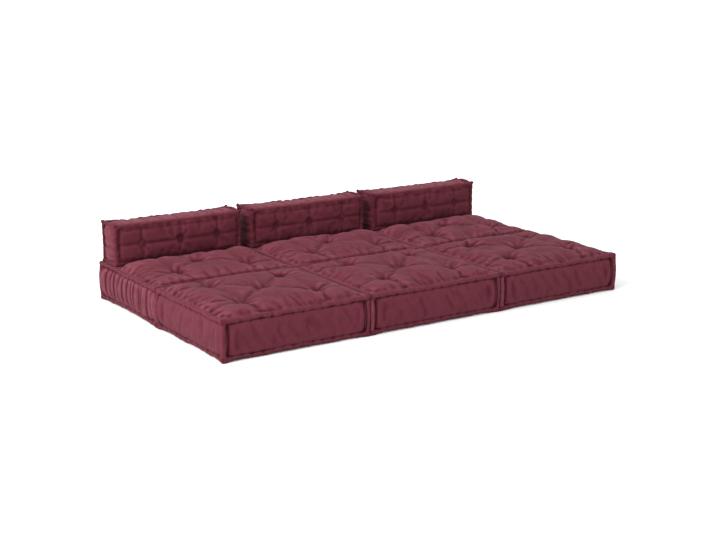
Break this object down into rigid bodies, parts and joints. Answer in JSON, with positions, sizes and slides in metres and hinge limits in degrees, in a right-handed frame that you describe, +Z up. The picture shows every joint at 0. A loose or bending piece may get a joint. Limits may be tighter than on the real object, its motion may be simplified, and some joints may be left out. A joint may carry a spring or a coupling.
{
  "type": "modular sofa",
  "caption": "Low modular floor sofa: two rows of tufted square seat cushions with rolled edges, and tufted back cushions standing along the rear row.",
  "frame": {"origin": "on the floor, at the middle of the sofa's footprint", "axes": "+X along the sofa's length, to the right seen from the front; +Y to the rear, where the backs stand; +Z up"},
  "size_m": [2.1008, 1.2004, 0.3704],
  "materials": {
    "cover": "brushed burgundy cotton",
    "underside": "plain burgundy cotton",
    "borders": "brushed burgundy cotton",
    "rolls": "stuffed and stitched burgundy cotton",
    "filling": "cotton filling",
    "tufts": "felted burgundy tuft on a waxed cord"
  },
  "bodies": {
    "seat_front_left": {"front_left_top_panel": "cover", "front_left_bottom_panel": "underside", "front_left_side_panels": "borders", "front_left_edge_rolls": "rolls", "front_left_filling": "filling", "front_left_tufts": "tufts"},
    "seat_front_centre": {"front_centre_top_panel": "cover", "front_centre_bottom_panel": "underside", "front_centre_side_panels": "borders", "front_centre_edge_rolls": "rolls", "front_centre_filling": "filling", "front_centre_tufts": "tufts"},
    "seat_front_right": {"front_right_top_panel": "cover", "front_right_bottom_panel": "underside", "front_right_side_panels": "borders", "front_right_edge_rolls": "rolls", "front_right_filling": "filling", "front_right_tufts": "tufts"},
    "seat_rear_left": {"rear_left_top_panel": "cover", "rear_left_bottom_panel": "underside", "rear_left_side_panels": "borders", "rear_left_edge_rolls": "rolls", "rear_left_filling": "filling", "rear_left_tufts": "tufts"},
    "seat_rear_centre": {"rear_centre_top_panel": "cover", "rear_centre_bottom_panel": "underside", "rear_centre_side_panels": "borders", "rear_centre_edge_rolls": "rolls", "rear_centre_filling": "filling", "rear_centre_tufts": "tufts"},
    "seat_rear_right": {"rear_right_top_panel": "cover", "rear_right_bottom_panel": "underside", "rear_right_side_panels": "borders", "rear_right_edge_rolls": "rolls", "rear_right_filling": "filling", "rear_right_tufts": "tufts"},
    "back_left": {"back_left_front_panel": "cover", "back_left_rear_panel": "cover", "back_left_border_panels": "borders", "back_left_edge_rolls": "rolls", "back_left_filling": "filling", "back_left_tufts": "tufts"},
    "back_centre": {"back_centre_front_panel": "cover", "back_centre_rear_panel": "cover", "back_centre_border_panels": "borders", "back_centre_edge_rolls": "rolls", "back_centre_filling": "filling", "back_centre_tufts": "tufts"},
    "back_right": {"back_right_front_panel": "cover", "back_right_rear_panel": "cover", "back_right_border_panels": "borders", "back_right_edge_rolls": "rolls", "back_right_filling": "filling", "back_right_tufts": "tufts"}
  },
  "joints": [
    {"name": "rear_left_pull", "type": "slide", "parent": "seat_rear_centre", "child": "seat_rear_left", "axis": [-1, 0, 0], "range_m": [0, 0.7]},
    {"name": "rear_right_pull", "type": "slide", "parent": "seat_rear_centre", "child": "seat_rear_right", "axis": [1, 0, 0], "range_m": [0, 0.7]},
    {"name": "front_left_pull", "type": "slide", "parent": "seat_rear_left", "child": "seat_front_left", "axis": [0, -1, 0], "range_m": [0, 0.65]},
    {"name": "back_left_lift", "type": "slide", "parent": "seat_rear_left", "child": "back_left", "axis": [0, 0, 1], "range_m": [0, 0.25]},
    {"name": "front_centre_pull", "type": "slide", "parent": "seat_rear_centre", "child": "seat_front_centre", "axis": [0, -1, 0], "range_m": [0, 0.65]},
    {"name": "back_centre_lift", "type": "slide", "parent": "seat_rear_centre", "child": "back_centre", "axis": [0, 0, 1], "range_m": [0, 0.25]},
    {"name": "front_right_pull", "type": "slide", "parent": "seat_rear_right", "child": "seat_front_right", "axis": [0, -1, 0], "range_m": [0, 0.65]},
    {"name": "back_right_lift", "type": "slide", "parent": "seat_rear_right", "child": "back_right", "axis": [0, 0, 1], "range_m": [0, 0.25]}
  ]
}
